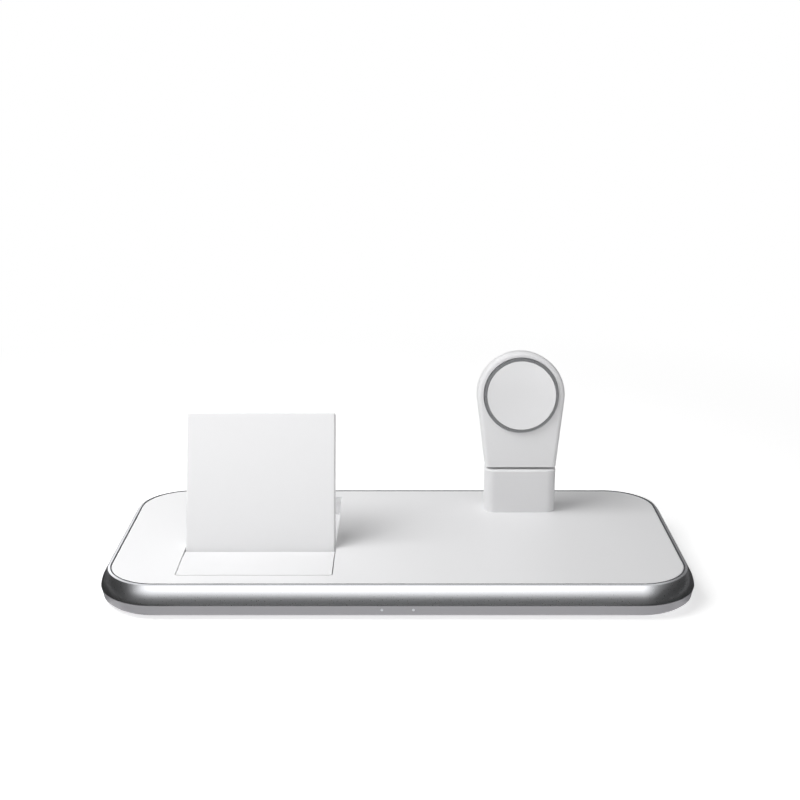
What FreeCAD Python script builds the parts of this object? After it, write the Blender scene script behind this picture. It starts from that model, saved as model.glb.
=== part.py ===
import FreeCAD, Part
import math
import os
from FreeCAD import Vector

# Charging stand with a flip-up back-rest, a flat dock, a raised puck on an arm and an output port.
# Millimetres, +Z up, X across the front, Y towards the back.
# The origin is on the surface it stands on, below the middle of the base.

# Base, from the top panel outwards
PANEL_WIDTH = 197.2
PANEL_DEPTH = 89.4
PANEL_CORNER = 17.3
PANEL_THICK = 2.0
PANEL_EDGE_ROUND = 0.4
SEAM = 0.35
RIM_LAND = 0.85
RIM_LAND_DROP = 0.2
RIM_OVERHANG = 3.8
RIM_SWELL = 0.45
RIM_HEIGHT = 6.35
RIM_LEDGE = 2.0
RIM_ARRIS = 0.2
GROOVE_INSET = 1.3
GROOVE_WIDTH = 1.0
GROOVE_DEPTH = 1.1
BAND_HEIGHT = 4.15
BAND_INSET = 0.1
BAND_TAPER = 0.65
BAND_FOOT_RISE = 1.0
BAND_FOOT_INSET = 1.1
SHELL_WALL = 2.2
SHELL_FLOOR = 1.8
FIT_GAP = 0.1
# Share of a width that rounds an end fully and still leaves a short flat
FULL_ROUND = 0.499

# Feet and case screws
FOOT_STAND = 1.0
FOOT_LENGTH = 36.0
FOOT_WIDTH = 7.0
FOOT_SINK = 0.6
FOOT_SIDE_MARGIN = 38.0
FOOT_FRONT_MARGIN = 6.7
SCREW_RADIUS = 1.1
SCREW_HEAD_RADIUS = 2.4
SCREW_HEAD_HEIGHT = 1.2
SCREW_SINK = 1.3
SCREW_HOLE_GAP = 0.3
SCREW_THREAD_GAP = 0.05
SCREW_FRONT_MARGIN = 10.7
SCREW_MIDDLE_OFFSET = 5.2
BOSS_RADIUS = 3.2
BOSS_SPLIT = 2.4
THREAD_END_WALL = 1.0

# Flip stand, its well and its crowned lip
STAND_WIDTH = 53.5
STAND_OFFSET = 48.75
STAND_END_MARGIN = 6.9
STAND_CORNER = 1.0
STAND_RAISED = 70.0
STAND_FACE_WALL = 1.8
STAND_SIDE_WALL = 2.4
STAND_COVER = 2.0
STAND_EDGE_ROUND = 0.6
COVER_GAP = 0.2
COVER_BOSS_RADIUS = 2.4
COVER_BOSS_INSET = 3.4
COVER_SCREW_RADIUS = 0.8
COVER_SCREW_HEAD_RADIUS = 1.5
COVER_SCREW_HEAD_HEIGHT = 0.8
COVER_SCREW_LENGTH = 3.0
LIP_DEPTH = 24.6
LIP_CREST = 15.8
LIP_RISE = 1.3
LIP_SPREAD = 23.5
LIP_REACH = 14.5
LIP_SHELF_SINK = 0.4
LIP_SEAT_GAP = 0.1
WELL_WALL = 1.6
WELL_FLOOR = 1.2
WELL_LEDGE = 1.2
WELL_FRONT_GAP = 0.8
WELL_LIFT = 0.3
WELL_RIBS = 3
WELL_POST_RADIUS = 2.5
WELL_POST_INSET = 6.0
SCOOP_RADIUS = 8.0
SCOOP_REACH = 3.0
SCOOP_WALL = 1.2
HINGE_PIN_RADIUS = 0.7
HINGE_COVER = 0.3
HINGE_PIN_REACH = 7.0
HINGE_CLEARANCE = 0.05
PIN_SEAT_GAP = 0.02
SLEEVE_WALL = 0.95
SLEEVE_LENGTH = 6.0
SLEEVE_SLIT = 0.6
HEEL_THICK = 1.8
HEEL_WIDTH = 30.0
STOP_GAP = 0.05

# Coils
STAND_COIL_MARGIN = 0.9
STAND_COIL_HOLE = 9.5
DOCK_COIL_RADIUS = 21.0
DOCK_COIL_HOLE = 10.0
COIL_THICK = 1.2
FERRITE_THICK = 0.8
FERRITE_MARGIN = 0.5
HOLDER_WALL = 1.2
HOLDER_MARGIN = 1.3
HOLDER_DECK = 1.0
COIL_AIR_GAP = 0.2

# Arm and puck
ARM_OFFSET = 46.5
ARM_BACK_MARGIN = 17.7
PEDESTAL_HEIGHT = 16.9
PEDESTAL_DEPTH = 12.0
PEDESTAL_CORNER = 3.6
PEDESTAL_EDGE = 0.5
ARM_SLIT = 0.8
NECK_WIDTH = 26.8
HEAD_RADIUS = 16.5
HEAD_RISE = 26.6
HEAD_THICK = 9.0
HEAD_TILT = 10.0
HEAD_EDGE_ROUND = 1.6
HEAD_COVER = 3.6
PUCK_RADIUS = 14.0
PUCK_WALL = 1.0
PUCK_FLOOR = 0.8
PUCK_PROUD = 1.2
PUCK_FACE_THICK = 1.8
PUCK_DISH = 0.8
PUCK_GAP = 0.2
PUCK_COIL_THICK = 1.2
PUCK_COIL_RADIUS = 12.0
PUCK_COIL_HOLE = 6.5
PUCK_MAGNET_RADIUS = 5.5
BRACKET_FOOT_WIDTH = 26.0
BRACKET_FOOT_DEPTH = 14.0
BRACKET_FOOT_THICK = 2.0
BRACKET_WIDTH = 18.0
BRACKET_THICK = 3.0
BRACKET_ENTRY = 8.0
BRACKET_GAP = 0.2
BRACKET_SCREW_SPACING = 18.0

# Electronics
BOARD_THICK = 1.2
BOARD_STANDOFF = 1.4
BOARD_LEFT_GAP = 8.2
BOARD_RIGHT_GAP = 2.5
BOARD_FRONT_MARGIN = 8.7
BOARD_BACK_MARGIN = 2.9
BOARD_POST_RADIUS = 2.0
BOARD_POST_MARGIN = 6.0
BOARD_CORNER = 1.0
PORT_HEIGHT = 5.2
PORT_SETBACK = 1.6
PORT_GAP = 0.25
INLET_OFFSET = 8.85
INLET_WIDTH = 8.94
INLET_HEIGHT = 3.26
INLET_DEPTH = 8.0
INLET_WALL = 0.3
INLET_TONGUE_WIDTH = 6.7
INLET_TONGUE_THICK = 0.7
INLET_TONGUE_LENGTH = 4.6
OUTPUT_OFFSET = 5.65
OUTPUT_WIDTH = 13.1
OUTPUT_HEIGHT = 5.7
OUTPUT_DEPTH = 14.0
OUTPUT_WALL = 0.3
OUTPUT_CORNER = 0.5
OUTPUT_BACK_WALL = 1.5
OUTPUT_TONGUE_WIDTH = 11.1
OUTPUT_TONGUE_THICK = 1.9
OUTPUT_TONGUE_LENGTH = 9.0
OUTPUT_TONGUE_RISE = 0.9
LIGHT_SPACING = 10.5
LIGHT_DROP = 7.9
LIGHT_RADIUS = 0.5
LIGHT_GAP = 0.05
LIGHT_AIR_GAP = 0.3
EMITTER_WIDTH = 1.6
EMITTER_HEIGHT = 0.9
CHIP_SIZE = 7.0
CHIP_HEIGHT = 1.0
INDUCTOR_SIZE = 6.0
INDUCTOR_HEIGHT = 3.0
INDUCTOR_CORNER = 1.0
BALLAST_THICK = 1.5
BALLAST_STRIP = 5.0
BALLAST_CORNER = 4.0
BALLAST_GAP = 0.8

# Levels
FLOOR_UNDER = FOOT_STAND
FLOOR_TOP = FLOOR_UNDER + SHELL_FLOOR
BAND_TOP = FLOOR_UNDER + BAND_HEIGHT
PANEL_TOP = BAND_TOP + RIM_HEIGHT
PANEL_UNDER = PANEL_TOP - PANEL_THICK
BOSS_MEET = FLOOR_TOP + BOSS_SPLIT
BOARD_UNDER = FLOOR_TOP + BOARD_STANDOFF
BOARD_TOP = BOARD_UNDER + BOARD_THICK
HINGE_Z = PANEL_UNDER - HINGE_COVER - HINGE_PIN_RADIUS
BARREL_RADIUS = PANEL_TOP - HINGE_Z
STAND_THICK = 2 * BARREL_RADIUS
WELL_TOP = PANEL_UNDER
WELL_UNDER = FLOOR_TOP + WELL_LIFT
WELL_DECK = WELL_UNDER + WELL_FLOOR
HEEL_DROP = HINGE_Z - WELL_DECK
PORT_Z = FLOOR_UNDER + PORT_HEIGHT
LIGHT_Z = PANEL_TOP - LIGHT_DROP

# Places across the base
HALF_WIDTH = PANEL_WIDTH / 2
HALF_DEPTH = PANEL_DEPTH / 2
STAND_X = -STAND_OFFSET
OPEN_LEFT = STAND_X - STAND_WIDTH / 2
OPEN_RIGHT = STAND_X + STAND_WIDTH / 2
OPEN_FRONT = -(HALF_DEPTH - STAND_END_MARGIN)
OPEN_BACK = HALF_DEPTH - STAND_END_MARGIN
HINGE_Y = OPEN_FRONT + LIP_DEPTH
CREST_Y = OPEN_FRONT + LIP_CREST
POCKET_FRONT = HINGE_Y - math.hypot(HEEL_DROP, HEEL_THICK) - WELL_FRONT_GAP
SCOOP_Y = OPEN_BACK + SCOOP_REACH - SCOOP_RADIUS
ARM_X = ARM_OFFSET
ARM_Y = HALF_DEPTH - ARM_BACK_MARGIN
HOLDER_RADIUS = DOCK_COIL_RADIUS + FERRITE_MARGIN + HOLDER_MARGIN
DOCK_Y = ARM_Y - BRACKET_FOOT_DEPTH / 2 - BALLAST_GAP - HOLDER_RADIUS
HEAD_FOOT_Z = PANEL_TOP + PEDESTAL_HEIGHT + ARM_SLIT
BOARD_LEFT = OPEN_RIGHT + WELL_WALL + BOARD_LEFT_GAP + BOSS_RADIUS
BOARD_RIGHT = ARM_X - HOLDER_RADIUS - BOARD_RIGHT_GAP
BOARD_FRONT = -(HALF_DEPTH - BOARD_FRONT_MARGIN)
BOARD_BACK = HALF_DEPTH - BOARD_BACK_MARGIN
BOARD_X = (BOARD_LEFT + BOARD_RIGHT) / 2
INLET_X = BOARD_X - INLET_OFFSET
OUTPUT_X = BOARD_X + OUTPUT_OFFSET
BAND_OUT = RIM_OVERHANG - BAND_INSET
PORT_FACE = HALF_DEPTH + RIM_OVERHANG - PORT_SETBACK

X_AXIS = Vector(1, 0, 0)
Y_AXIS = Vector(0, 1, 0)
Z_AXIS = Vector(0, 0, 1)
HINGE_POINT = Vector(STAND_X, HINGE_Y, HINGE_Z)


def box(left, right, front, back, low, high):
    """A block between two corners."""
    return Part.makeBox(right - left, back - front, high - low, Vector(left, front, low))


def rod(radius, start, direction, length):
    """A round bar from a point along a direction."""
    return Part.makeCylinder(radius, length, start, direction)


def post(radius, x, y, low, high):
    """An upright round bar between two levels."""
    return rod(radius, Vector(x, y, low), Z_AXIS, high - low)


def rounded_wire(width, depth, radius, z=0.0, x=0.0, y=0.0):
    """A closed rounded rectangle that starts in the middle of its front side."""
    w = width / 2
    d = depth / 2
    diagonal = radius * math.sqrt(0.5)
    corners = [(1, -1), (1, 1), (-1, 1), (-1, -1)]
    point = Vector(x, y - d, z)
    start = point
    edges = []
    for index, (sx, sy) in enumerate(corners):
        centre = Vector(x + sx * (w - radius), y + sy * (d - radius), z)
        middle = centre + Vector(sx * diagonal, sy * diagonal, 0)
        on_front = centre + Vector(0, sy * radius, 0)
        on_side = centre + Vector(sx * radius, 0, 0)
        first, last = (on_front, on_side) if index % 2 == 0 else (on_side, on_front)
        edges.append(Part.LineSegment(point, first).toShape())
        edges.append(Part.Arc(first, middle, last).toShape())
        point = last
    edges.append(Part.LineSegment(point, start).toShape())
    return Part.Wire(edges)


def slab(width, depth, radius, low, high, x=0.0, y=0.0):
    """An upright prism on a rounded rectangle."""
    face = Part.Face(rounded_wire(width, depth, radius, low, x, y))
    return face.extrude(Vector(0, 0, high - low))


def base_slab(offset, low, high):
    """A prism on the panel's outline, grown by an offset."""
    return slab(PANEL_WIDTH + 2 * offset, PANEL_DEPTH + 2 * offset, PANEL_CORNER + offset, low, high)


def ring(outer, inner, x, y, low, high):
    """An upright flat ring."""
    return post(outer, x, y, low, high).cut(post(inner, x, y, low, high))


def rearward_slab(width, height, radius, back, depth, x, z):
    """A prism on an upright rounded rectangle that runs forwards from its back face."""
    solid = slab(width, height, radius, 0, depth)
    solid.rotate(Vector(), X_AXIS, 90)
    solid.translate(Vector(x, back, z))
    return solid


def edges_at(solid, level, tolerance=1e-4):
    """All edges of a solid that lie flat at one height."""
    flat = []
    for edge in solid.Edges:
        bounds = edge.BoundBox
        if abs(bounds.ZMin - level) < tolerance and abs(bounds.ZMax - level) < tolerance:
            flat.append(edge)
    return flat


def corners_of(x, y):
    """The four points that mirror one point in both middle planes."""
    return [(sx * x, sy * y) for sx in (-1, 1) for sy in (-1, 1)]


def screw_places():
    """Where the case screws stand: near the four corners and beside the stand's well."""
    y = HALF_DEPTH - SCREW_FRONT_MARGIN
    side = (HALF_WIDTH - RIM_LEDGE + WELL_WALL - OPEN_LEFT) / 2
    middle = OPEN_RIGHT + WELL_WALL + SCREW_MIDDLE_OFFSET
    return corners_of(side, y) + [(middle, -y), (middle, y)]


def bracket_screw_places():
    """Where two screws hold the arm's bracket to the floor."""
    half = BRACKET_SCREW_SPACING / 2
    return [(ARM_X - half, ARM_Y), (ARM_X + half, ARM_Y)]


def board_post_places():
    """Where the floor carries the board."""
    across = (BOARD_LEFT + BOARD_POST_RADIUS, BOARD_RIGHT - BOARD_POST_RADIUS)
    along = (BOARD_FRONT + BOARD_POST_MARGIN, PORT_FACE - OUTPUT_DEPTH - BOARD_POST_MARGIN)
    return [(x, y) for x in across for y in along]


def light_places():
    """Where the two status lights stand across the front."""
    return (-LIGHT_SPACING / 2, LIGHT_SPACING / 2)


def port_openings(gap):
    """The two sockets' outer forms, grown by a gap, running through the back of the base."""
    reach = INLET_DEPTH + OUTPUT_DEPTH
    back = PORT_FACE + reach / 2
    inlet_height = INLET_HEIGHT + 2 * gap
    inlet = rearward_slab(INLET_WIDTH + 2 * gap, inlet_height, FULL_ROUND * inlet_height, back, reach,
                          INLET_X, PORT_Z)
    output = rearward_slab(OUTPUT_WIDTH + 2 * gap, OUTPUT_HEIGHT + 2 * gap, OUTPUT_CORNER + gap, back,
                           reach, OUTPUT_X, PORT_Z)
    return inlet.fuse(output)


def aluminium_frame():
    """The extruded rim: a flat land, a convex side down to a crisp arris, a ledge for the panel."""
    def at(out, level):
        return Vector(0, -HALF_DEPTH - out, level)

    land_end = at(SEAM + RIM_LAND, PANEL_TOP - RIM_LAND_DROP)
    arris = at(RIM_OVERHANG, BAND_TOP + RIM_ARRIS)
    bulge = at((SEAM + RIM_LAND + RIM_OVERHANG) / 2 + RIM_SWELL, (land_end.z + arris.z) / 2)
    groove_out = RIM_OVERHANG - GROOVE_INSET
    groove_in = groove_out - GROOVE_WIDTH
    lower = [
        arris,
        at(RIM_OVERHANG - RIM_ARRIS, BAND_TOP),
        at(groove_out, BAND_TOP),
        at(groove_out, BAND_TOP + GROOVE_DEPTH),
        at(groove_in, BAND_TOP + GROOVE_DEPTH),
        at(groove_in, BAND_TOP),
        at(-RIM_LEDGE, BAND_TOP),
        at(-RIM_LEDGE, PANEL_UNDER),
        at(SEAM, PANEL_UNDER),
        at(SEAM, PANEL_TOP),
        land_end,
    ]
    edges = [Part.Arc(land_end, bulge, arris).toShape()]
    edges += Part.makePolygon(lower).Edges
    path = rounded_wire(PANEL_WIDTH, PANEL_DEPTH, PANEL_CORNER, PANEL_TOP)
    frame = path.makePipeShell([Part.Wire(edges)], True, True)
    return frame.cut(port_openings(PORT_GAP))


def top_panel():
    """The white top plate with the stand's opening, the arm's slot and screw bosses below."""
    plate = base_slab(0, PANEL_UNDER, PANEL_TOP)
    plate = plate.makeFillet(PANEL_EDGE_ROUND, edges_at(plate, PANEL_TOP))
    for x, y in screw_places():
        plate = plate.fuse(post(BOSS_RADIUS, x, y, BOSS_MEET, PANEL_UNDER))
    for x, y in screw_places():
        pilot = SCREW_RADIUS + SCREW_THREAD_GAP
        plate = plate.cut(post(pilot, x, y, BOSS_MEET, PANEL_TOP - THREAD_END_WALL))
    opening = slab(STAND_WIDTH, OPEN_BACK - OPEN_FRONT, STAND_CORNER, PANEL_UNDER, PANEL_TOP, STAND_X,
                   (OPEN_FRONT + OPEN_BACK) / 2)
    scoop = post(SCOOP_RADIUS, STAND_X, SCOOP_Y, PANEL_UNDER, PANEL_TOP)
    slot = slab(BRACKET_WIDTH + 2 * BRACKET_GAP, BRACKET_THICK + 2 * BRACKET_GAP, BRACKET_GAP, PANEL_UNDER,
                PANEL_TOP, ARM_X, ARM_Y)
    return plate.cut(opening).cut(scoop).cut(slot)


def bottom_shell():
    """The moulded lower tray: tapered band, floor, locating tongue, screw bosses and posts."""
    foot_out = BAND_OUT - BAND_TAPER
    top_wire = rounded_wire(PANEL_WIDTH + 2 * BAND_OUT, PANEL_DEPTH + 2 * BAND_OUT,
                            PANEL_CORNER + BAND_OUT, BAND_TOP)
    foot_wire = rounded_wire(PANEL_WIDTH + 2 * foot_out, PANEL_DEPTH + 2 * foot_out,
                             PANEL_CORNER + foot_out, FLOOR_UNDER + BAND_FOOT_RISE)
    sole_out = foot_out - BAND_FOOT_INSET
    sole_wire = rounded_wire(PANEL_WIDTH + 2 * sole_out, PANEL_DEPTH + 2 * sole_out,
                             PANEL_CORNER + sole_out, FLOOR_UNDER)
    shell = Part.makeLoft([sole_wire, foot_wire, top_wire], True, True)
    inner = BAND_OUT - SHELL_WALL
    shell = shell.cut(base_slab(inner, FLOOR_TOP, BAND_TOP))
    tongue_out = RIM_OVERHANG - GROOVE_INSET - FIT_GAP
    tongue_in = tongue_out - GROOVE_WIDTH + 2 * FIT_GAP
    tongue_top = BAND_TOP + GROOVE_DEPTH - FIT_GAP
    shell = shell.fuse(base_slab(tongue_out, BAND_TOP, tongue_top).cut(
        base_slab(tongue_in, BAND_TOP, tongue_top)))
    for x, y in screw_places():
        shell = shell.fuse(post(BOSS_RADIUS, x, y, FLOOR_TOP, BOSS_MEET))
    for x, y in board_post_places():
        shell = shell.fuse(post(BOARD_POST_RADIUS, x, y, FLOOR_TOP, BOARD_UNDER))
    for x, y in screw_places() + bracket_screw_places():
        shell = shell.cut(post(SCREW_RADIUS + SCREW_HOLE_GAP, x, y, FLOOR_UNDER, BOSS_MEET))
        shell = shell.cut(post(SCREW_HEAD_RADIUS + SCREW_HOLE_GAP, x, y, FLOOR_UNDER,
                               FLOOR_UNDER + SCREW_SINK))
    for x, y in foot_places():
        shell = shell.cut(slab(FOOT_LENGTH + 2 * FIT_GAP, FOOT_WIDTH + 2 * FIT_GAP, FULL_ROUND * FOOT_WIDTH,
                               FLOOR_UNDER, FLOOR_UNDER + FOOT_SINK, x, y))
    for x in light_places():
        shell = shell.cut(rod(LIGHT_RADIUS + LIGHT_GAP, Vector(x, -HALF_DEPTH - RIM_OVERHANG, LIGHT_Z),
                              Y_AXIS, RIM_OVERHANG + SHELL_WALL))
    return shell.cut(port_openings(PORT_GAP))


def foot_places():
    """Where the four feet sit under the floor."""
    return corners_of(HALF_WIDTH - FOOT_SIDE_MARGIN, HALF_DEPTH - FOOT_FRONT_MARGIN)


def rubber_feet():
    """Four long soft pads, sunk a little into the floor."""
    pads = []
    for x, y in foot_places():
        pads.append(slab(FOOT_LENGTH, FOOT_WIDTH, FULL_ROUND * FOOT_WIDTH, 0, FOOT_STAND + FOOT_SINK, x, y))
    return Part.makeCompound(pads)


def screw(x, y, seat, length, radius, head_radius, head_height):
    """A screw driven upwards: head below its seat, shank above it."""
    head = post(head_radius, x, y, seat - head_height, seat)
    return head.fuse(post(radius, x, y, seat, seat + length))


def case_screws():
    """Six screws that pull the panel, the rim and the shell together."""
    seat = FLOOR_UNDER + SCREW_SINK
    length = PANEL_UNDER - SCREW_THREAD_GAP - seat
    made = []
    for x, y in screw_places():
        made.append(screw(x, y, seat, length, SCREW_RADIUS, SCREW_HEAD_RADIUS, SCREW_HEAD_HEIGHT))
    return Part.makeCompound(made)


def bracket_screws():
    """Two screws that hold the arm's bracket down on the floor."""
    seat = FLOOR_UNDER + SCREW_SINK
    length = FLOOR_TOP + BRACKET_FOOT_THICK - seat
    made = []
    for x, y in bracket_screw_places():
        made.append(screw(x, y, seat, length, SCREW_RADIUS, SCREW_HEAD_RADIUS, SCREW_HEAD_HEIGHT))
    return Part.makeCompound(made)


def stand_well():
    """The tray below the panel that takes the folded stand and carries its hinge pins."""
    middle = (OPEN_FRONT + OPEN_BACK) / 2
    depth = OPEN_BACK - OPEN_FRONT
    well = slab(STAND_WIDTH + 2 * WELL_WALL, depth + 2 * WELL_WALL, STAND_CORNER + WELL_WALL, WELL_UNDER,
                WELL_TOP, STAND_X, middle)
    well = well.fuse(post(SCOOP_RADIUS + SCOOP_WALL, STAND_X, SCOOP_Y, WELL_UNDER, WELL_TOP))
    pocket = slab(STAND_WIDTH, OPEN_BACK - POCKET_FRONT, STAND_CORNER, WELL_DECK, WELL_TOP, STAND_X,
                  (OPEN_BACK + POCKET_FRONT) / 2)
    pocket = pocket.fuse(post(SCOOP_RADIUS, STAND_X, SCOOP_Y, WELL_DECK, WELL_TOP))
    well = well.cut(pocket)
    hollow_width = (STAND_WIDTH - (WELL_RIBS - 1) * WELL_WALL) / WELL_RIBS
    for index in range(WELL_RIBS):
        left = OPEN_LEFT + index * (hollow_width + WELL_WALL)
        well = well.cut(box(left, left + hollow_width, OPEN_FRONT, POCKET_FRONT - WELL_WALL, WELL_UNDER,
                            WELL_TOP - WELL_LEDGE))
    bore = rod(HINGE_PIN_RADIUS + PIN_SEAT_GAP, Vector(OPEN_LEFT - WELL_WALL, HINGE_Y, HINGE_Z), X_AXIS,
               STAND_WIDTH + 2 * WELL_WALL)
    well = well.cut(bore)
    ledge_under = WELL_TOP - WELL_LEDGE
    for x in (OPEN_LEFT + WELL_POST_INSET, OPEN_RIGHT - WELL_POST_INSET):
        well = well.fuse(post(WELL_POST_RADIUS, x, OPEN_FRONT + WELL_POST_INSET, FLOOR_TOP, ledge_under))
        well = well.fuse(post(WELL_POST_RADIUS, x, OPEN_BACK - WELL_POST_INSET, FLOOR_TOP, WELL_UNDER))
    return well


def stand_lip():
    """The insert in front of the hinge: a crowned lip that swells to a crest, and a shelf behind it."""
    left = OPEN_LEFT + SEAM
    right = OPEN_RIGHT - SEAM
    front = OPEN_FRONT + SEAM
    back = HINGE_Y - BARREL_RADIUS - SEAM
    thick = PANEL_THICK - LIP_SEAT_GAP
    columns = 15
    rows = 9
    grid = []
    for i in range(columns):
        x = left + (right - left) * i / (columns - 1)
        line = []
        for j in range(rows):
            y = front + (CREST_Y - front) * j / (rows - 1)
            far = ((x - STAND_X) / LIP_SPREAD) ** 2 + ((y - CREST_Y) / LIP_REACH) ** 2
            line.append(Vector(x, y, PANEL_TOP + LIP_RISE * max(0.0, 1 - far) ** 2))
        grid.append(line)
    crown = Part.BSplineSurface()
    crown.interpolate(grid)
    under = PANEL_TOP - thick
    lip = crown.toShape().extrude(Vector(0, 0, -thick - LIP_RISE))
    shelf = box(left, right, CREST_Y, back, under, PANEL_TOP - LIP_SHELF_SINK)
    outline = slab(right - left, 2 * (back - front), STAND_CORNER - SEAM, under, PANEL_TOP + 2 * LIP_RISE,
                   STAND_X, back)
    return lip.fuse(shelf).common(outline)


def raise_stand(shape):
    """Turns a piece of the stand from lying in its well to its raised place."""
    shape.rotate(HINGE_POINT, X_AXIS, STAND_RAISED)
    return shape


def stand_span():
    """The folded plate's width, its free end and the inner room for its coil."""
    width = STAND_WIDTH - 2 * SEAM
    end = OPEN_BACK - SEAM
    room_front = HINGE_Y + BARREL_RADIUS + STAND_SIDE_WALL
    room_back = end - STAND_SIDE_WALL
    return width, end, room_front, room_back


def cover_screw_places():
    """Where the cover is screwed to the front shell, in the folded place."""
    width, end, room_front, room_back = stand_span()
    across = width / 2 - STAND_SIDE_WALL - COVER_BOSS_INSET
    along = (room_front + COVER_BOSS_INSET, room_back - COVER_BOSS_INSET)
    return [(STAND_X + side * across, y) for side in (-1, 1) for y in along]


def stand_front_shell():
    """The back-rest plate with its hinge barrel and the heel that stops it when raised."""
    width, end, room_front, room_back = stand_span()
    low = PANEL_TOP - STAND_THICK
    plate = slab(width, 2 * (end - HINGE_Y), STAND_CORNER - SEAM, low, PANEL_TOP, STAND_X, HINGE_Y)
    plate = plate.common(box(OPEN_LEFT, OPEN_RIGHT, HINGE_Y, end, low, PANEL_TOP))
    rims = []
    for level in (low, PANEL_TOP):
        rims += [edge for edge in edges_at(plate, level) if edge.BoundBox.YMax > HINGE_Y + BARREL_RADIUS]
    plate = plate.makeFillet(STAND_EDGE_ROUND, rims)
    barrel = rod(BARREL_RADIUS, Vector(STAND_X - width / 2, HINGE_Y, HINGE_Z), X_AXIS, width)
    heel = box(STAND_X - HEEL_WIDTH / 2, STAND_X + HEEL_WIDTH / 2, HINGE_Y - HEEL_THICK, HINGE_Y,
               HINGE_Z - HEEL_DROP + STOP_GAP, HINGE_Z)
    heel.rotate(HINGE_POINT, X_AXIS, -STAND_RAISED)
    plate = plate.fuse(barrel).fuse(heel)
    ceiling = PANEL_TOP - STAND_FACE_WALL
    room = slab(width - 2 * STAND_SIDE_WALL, room_back - room_front, STAND_CORNER, low, ceiling, STAND_X,
                (room_front + room_back) / 2)
    for x, y in cover_screw_places():
        room = room.cut(post(COVER_BOSS_RADIUS, x, y, low + STAND_COVER, ceiling))
        room = room.fuse(post(COVER_SCREW_RADIUS + SCREW_THREAD_GAP, x, y, low, low + COVER_SCREW_LENGTH
                              + COVER_SCREW_HEAD_HEIGHT))
    plate = plate.cut(room)
    bore_radius = HINGE_PIN_RADIUS + 2 * HINGE_CLEARANCE + SLEEVE_WALL
    for start, direction in hinge_ends():
        depth = SEAM + HINGE_PIN_REACH + FIT_GAP
        plate = plate.cut(rod(bore_radius, start, direction, depth))
    return raise_stand(plate)


def hinge_ends():
    """The two points where the barrel meets the well's walls, each with its inward direction."""
    return [(Vector(OPEN_LEFT, HINGE_Y, HINGE_Z), X_AXIS), (Vector(OPEN_RIGHT, HINGE_Y, HINGE_Z), -X_AXIS)]


def stand_rear_cover():
    """The plate that closes the back of the stand, screwed to four bosses."""
    width, end, room_front, room_back = stand_span()
    low = PANEL_TOP - STAND_THICK
    cover = slab(width - 2 * STAND_SIDE_WALL - 2 * COVER_GAP, room_back - room_front - 2 * COVER_GAP,
                 STAND_CORNER - COVER_GAP, low, low + STAND_COVER, STAND_X, (room_front + room_back) / 2)
    for x, y in cover_screw_places():
        cover = cover.cut(post(COVER_SCREW_RADIUS + COVER_GAP, x, y, low, low + STAND_COVER))
        cover = cover.cut(post(COVER_SCREW_HEAD_RADIUS + COVER_GAP, x, y, low,
                               low + COVER_SCREW_HEAD_HEIGHT + FIT_GAP))
    return raise_stand(cover)


def cover_screws():
    """Four small screws in the stand's rear cover."""
    seat = PANEL_TOP - STAND_THICK + COVER_SCREW_HEAD_HEIGHT + FIT_GAP
    made = []
    for x, y in cover_screw_places():
        made.append(screw(x, y, seat, COVER_SCREW_LENGTH - FIT_GAP, COVER_SCREW_RADIUS,
                          COVER_SCREW_HEAD_RADIUS, COVER_SCREW_HEAD_HEIGHT))
    return raise_stand(Part.makeCompound(made))


def stand_coil_place():
    """The middle of the stand's inner room, in the folded place, and the winding's outer radius."""
    width, end, room_front, room_back = stand_span()
    room = min(room_back - room_front, width - 2 * STAND_SIDE_WALL)
    return (room_front + room_back) / 2, room / 2 - FERRITE_MARGIN - STAND_COIL_MARGIN


def stand_coil():
    """The flat winding behind the stand's face."""
    top = PANEL_TOP - STAND_FACE_WALL
    y, radius = stand_coil_place()
    return raise_stand(ring(radius, STAND_COIL_HOLE, STAND_X, y, top - COIL_THICK, top))


def stand_ferrite():
    """The shield disc behind the stand's winding."""
    top = PANEL_TOP - STAND_FACE_WALL - COIL_THICK
    y, radius = stand_coil_place()
    return raise_stand(post(radius + FERRITE_MARGIN, STAND_X, y, top - FERRITE_THICK, top))


def hinge_pins():
    """Two plain pins, held in the well's walls, on which the barrel turns."""
    pins = []
    for start, direction in hinge_ends():
        outer = start - direction * WELL_WALL
        pins.append(rod(HINGE_PIN_RADIUS, outer, direction, WELL_WALL + SEAM + HINGE_PIN_REACH))
    return Part.makeCompound(pins)


def friction_sleeves():
    """Two slit sleeves in the barrel that grip the pins and hold the stand where it is set."""
    inner = HINGE_PIN_RADIUS + HINGE_CLEARANCE
    sleeves = []
    for start, direction in hinge_ends():
        mouth = start + direction * (SEAM + FIT_GAP)
        sleeve = rod(inner + SLEEVE_WALL, mouth, direction, SLEEVE_LENGTH)
        sleeve = sleeve.cut(rod(inner, mouth, direction, SLEEVE_LENGTH))
        slit = box(min(mouth.x, mouth.x + direction.x * SLEEVE_LENGTH),
                   max(mouth.x, mouth.x + direction.x * SLEEVE_LENGTH), HINGE_Y, HINGE_Y + BARREL_RADIUS,
                   HINGE_Z - SLEEVE_SLIT / 2, HINGE_Z + SLEEVE_SLIT / 2)
        sleeves.append(sleeve.cut(slit))
    return raise_stand(Part.makeCompound(sleeves))


def dock_levels():
    """Levels of the dock's stack: coil top, coil under, ferrite under, holder under its deck."""
    coil_top = PANEL_UNDER - COIL_AIR_GAP
    coil_under = coil_top - COIL_THICK
    ferrite_under = coil_under - FERRITE_THICK
    return coil_top, coil_under, ferrite_under, ferrite_under - HOLDER_DECK


def dock_coil():
    """The flat winding below the dock."""
    top, under, ferrite_under, deck_under = dock_levels()
    return ring(DOCK_COIL_RADIUS, DOCK_COIL_HOLE, ARM_X, DOCK_Y, under, top)


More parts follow.
